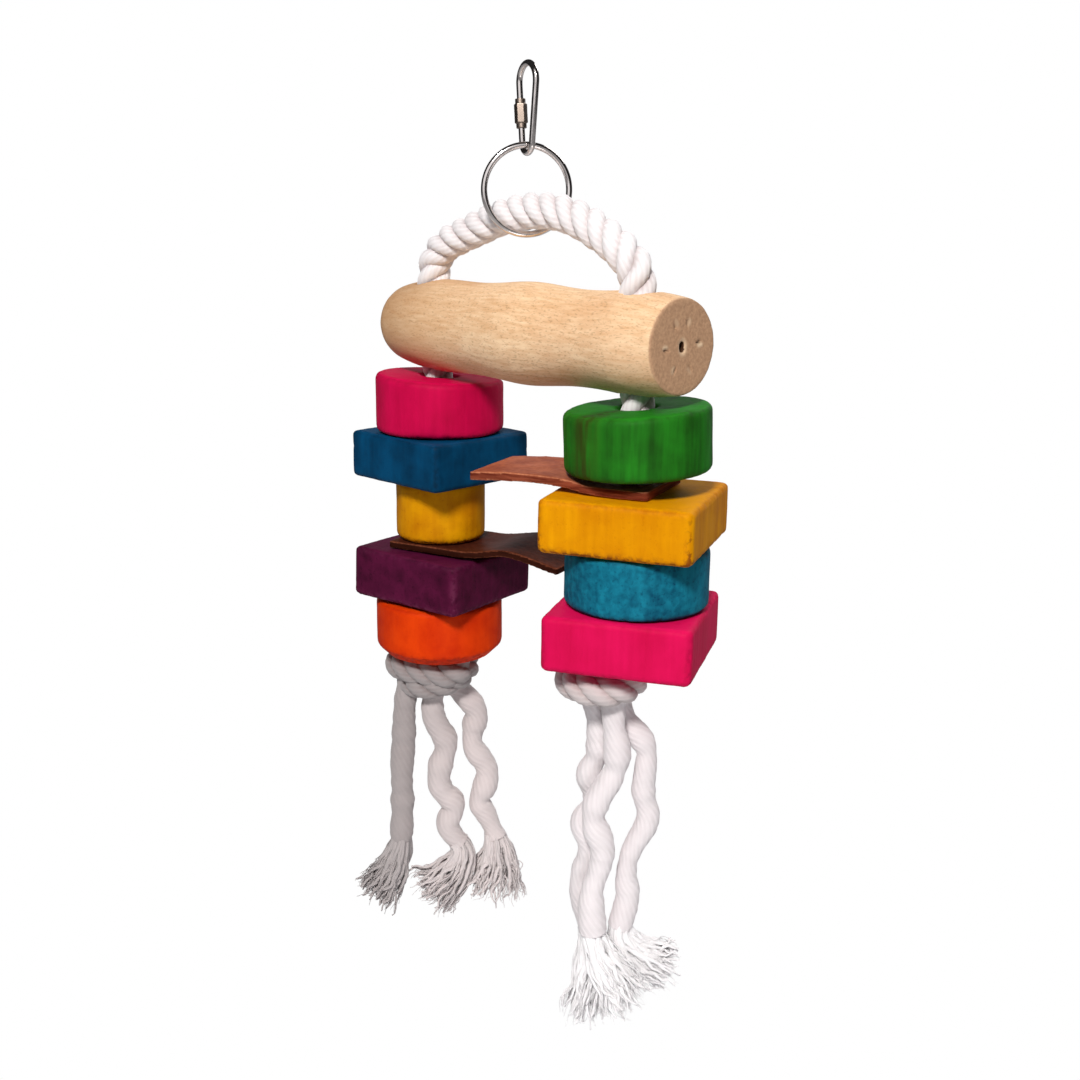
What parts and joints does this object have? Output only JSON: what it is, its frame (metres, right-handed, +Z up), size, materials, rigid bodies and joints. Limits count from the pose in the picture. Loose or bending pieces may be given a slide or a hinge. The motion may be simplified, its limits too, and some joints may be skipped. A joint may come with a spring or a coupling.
{
  "type": "bird toy",
  "caption": "Hanging bird toy: wooden perch on a cotton rope, strings of coloured wood blocks and leather strips, knotted frayed ends, screw-lock link and ring on top.",
  "frame": {"origin": "the inside of the link's top bow, where a cage bar or hook carries the toy", "axes": "+Z up along the hang line, +X along the perch towards its sawn end"},
  "size_m": [0.173, 0.0733, 0.3515],
  "materials": {
    "plated_steel": "polished nickel plate",
    "cotton_rope": "twisted undyed cotton",
    "bare_wood": "peeled and sanded branch wood",
    "crimson_wood": "dyed wood",
    "navy_wood": "dyed wood",
    "ochre_wood": "dyed wood",
    "violet_wood": "dyed wood",
    "orange_wood": "dyed wood",
    "green_wood": "dyed wood",
    "amber_wood": "dyed wood",
    "teal_wood": "dyed wood",
    "pink_wood": "dyed wood",
    "tan_leather": "vegetable tanned leather",
    "brown_leather": "dark oiled leather"
  },
  "bodies": {
    "link": {"quick_link": "plated_steel"},
    "sleeve": {"link_sleeve": "plated_steel"},
    "ring": {"steel_ring": "plated_steel"},
    "toy": {"rope": "cotton_rope", "wood_perch": "bare_wood", "left_knot": "cotton_rope", "right_knot": "cotton_rope", "left_strand_a": "cotton_rope", "left_fray_a": "cotton_rope", "left_strand_b": "cotton_rope", "left_fray_b": "cotton_rope", "left_strand_c": "cotton_rope", "left_fray_c": "cotton_rope", "right_strand_a": "cotton_rope", "right_fray_a": "cotton_rope", "right_strand_b": "cotton_rope", "right_fray_b": "cotton_rope", "right_strand_c": "cotton_rope", "right_fray_c": "cotton_rope"},
    "pink_disc": {"left_pink_disc": "crimson_wood"},
    "blue_square": {"left_blue_square": "navy_wood"},
    "yellow_peg": {"left_yellow_peg": "ochre_wood"},
    "lower_leather_strip": {"lower_leather_strip": "brown_leather"},
    "violet_square": {"left_violet_square": "violet_wood"},
    "orange_disc": {"left_orange_disc": "orange_wood"},
    "green_disc": {"right_green_disc": "green_wood"},
    "upper_leather_strip": {"upper_leather_strip": "tan_leather"},
    "yellow_square": {"right_yellow_square": "amber_wood"},
    "teal_disc": {"right_teal_disc": "teal_wood"},
    "pink_square": {"right_pink_square": "pink_wood"}
  },
  "joints": [
    {"name": "sleeve_slide", "type": "slide", "parent": "link", "child": "sleeve", "axis": [-0.1207, 0.0301, 0.9922], "range_m": [0, 0.0045]},
    {"name": "ring_swing", "type": "hinge", "parent": "link", "child": "ring", "pos_m": [0, 0, -0.02875], "axis": [0.9703, -0.2419, 0], "range_deg": [-45, 45]},
    {"name": "toy_swing", "type": "hinge", "parent": "ring", "child": "toy", "pos_m": [0, 0, -0.0568], "axis": [0.5299, 0.848, 0], "range_deg": [-40, 40]},
    {"name": "pink_disc_spin", "type": "hinge", "parent": "toy", "child": "pink_disc", "pos_m": [-0.05065, 0, -0.15], "axis": [0, 0, 1], "continuous": true},
    {"name": "blue_square_spin", "type": "hinge", "parent": "toy", "child": "blue_square", "pos_m": [-0.05065, 0, -0.15], "axis": [0, 0, 1], "continuous": true},
    {"name": "yellow_peg_spin", "type": "hinge", "parent": "toy", "child": "yellow_peg", "pos_m": [-0.05065, 0, -0.15], "axis": [0, 0, 1], "continuous": true},
    {"name": "lower_leather_strip_spin", "type": "hinge", "parent": "toy", "child": "lower_leather_strip", "pos_m": [-0.05065, 0, -0.15], "axis": [0, 0, 1], "continuous": true},
    {"name": "violet_square_spin", "type": "hinge", "parent": "toy", "child": "violet_square", "pos_m": [-0.05065, 0, -0.15], "axis": [0, 0, 1], "continuous": true},
    {"name": "orange_disc_spin", "type": "hinge", "parent": "toy", "child": "orange_disc", "pos_m": [-0.05065, 0, -0.15], "axis": [0, 0, 1], "continuous": true},
    {"name": "green_disc_spin", "type": "hinge", "parent": "toy", "child": "green_disc", "pos_m": [0.05705, 0, -0.15], "axis": [0, 0, 1], "continuous": true},
    {"name": "upper_leather_strip_spin", "type": "hinge", "parent": "toy", "child": "upper_leather_strip", "pos_m": [0.05705, 0, -0.15], "axis": [0, 0, 1], "continuous": true},
    {"name": "yellow_square_spin", "type": "hinge", "parent": "toy", "child": "yellow_square", "pos_m": [0.05705, 0, -0.15], "axis": [0, 0, 1], "continuous": true},
    {"name": "teal_disc_spin", "type": "hinge", "parent": "toy", "child": "teal_disc", "pos_m": [0.05705, 0, -0.15], "axis": [0, 0, 1], "continuous": true},
    {"name": "pink_square_spin", "type": "hinge", "parent": "toy", "child": "pink_square", "pos_m": [0.05705, 0, -0.15], "axis": [0, 0, 1], "continuous": true}
  ]
}
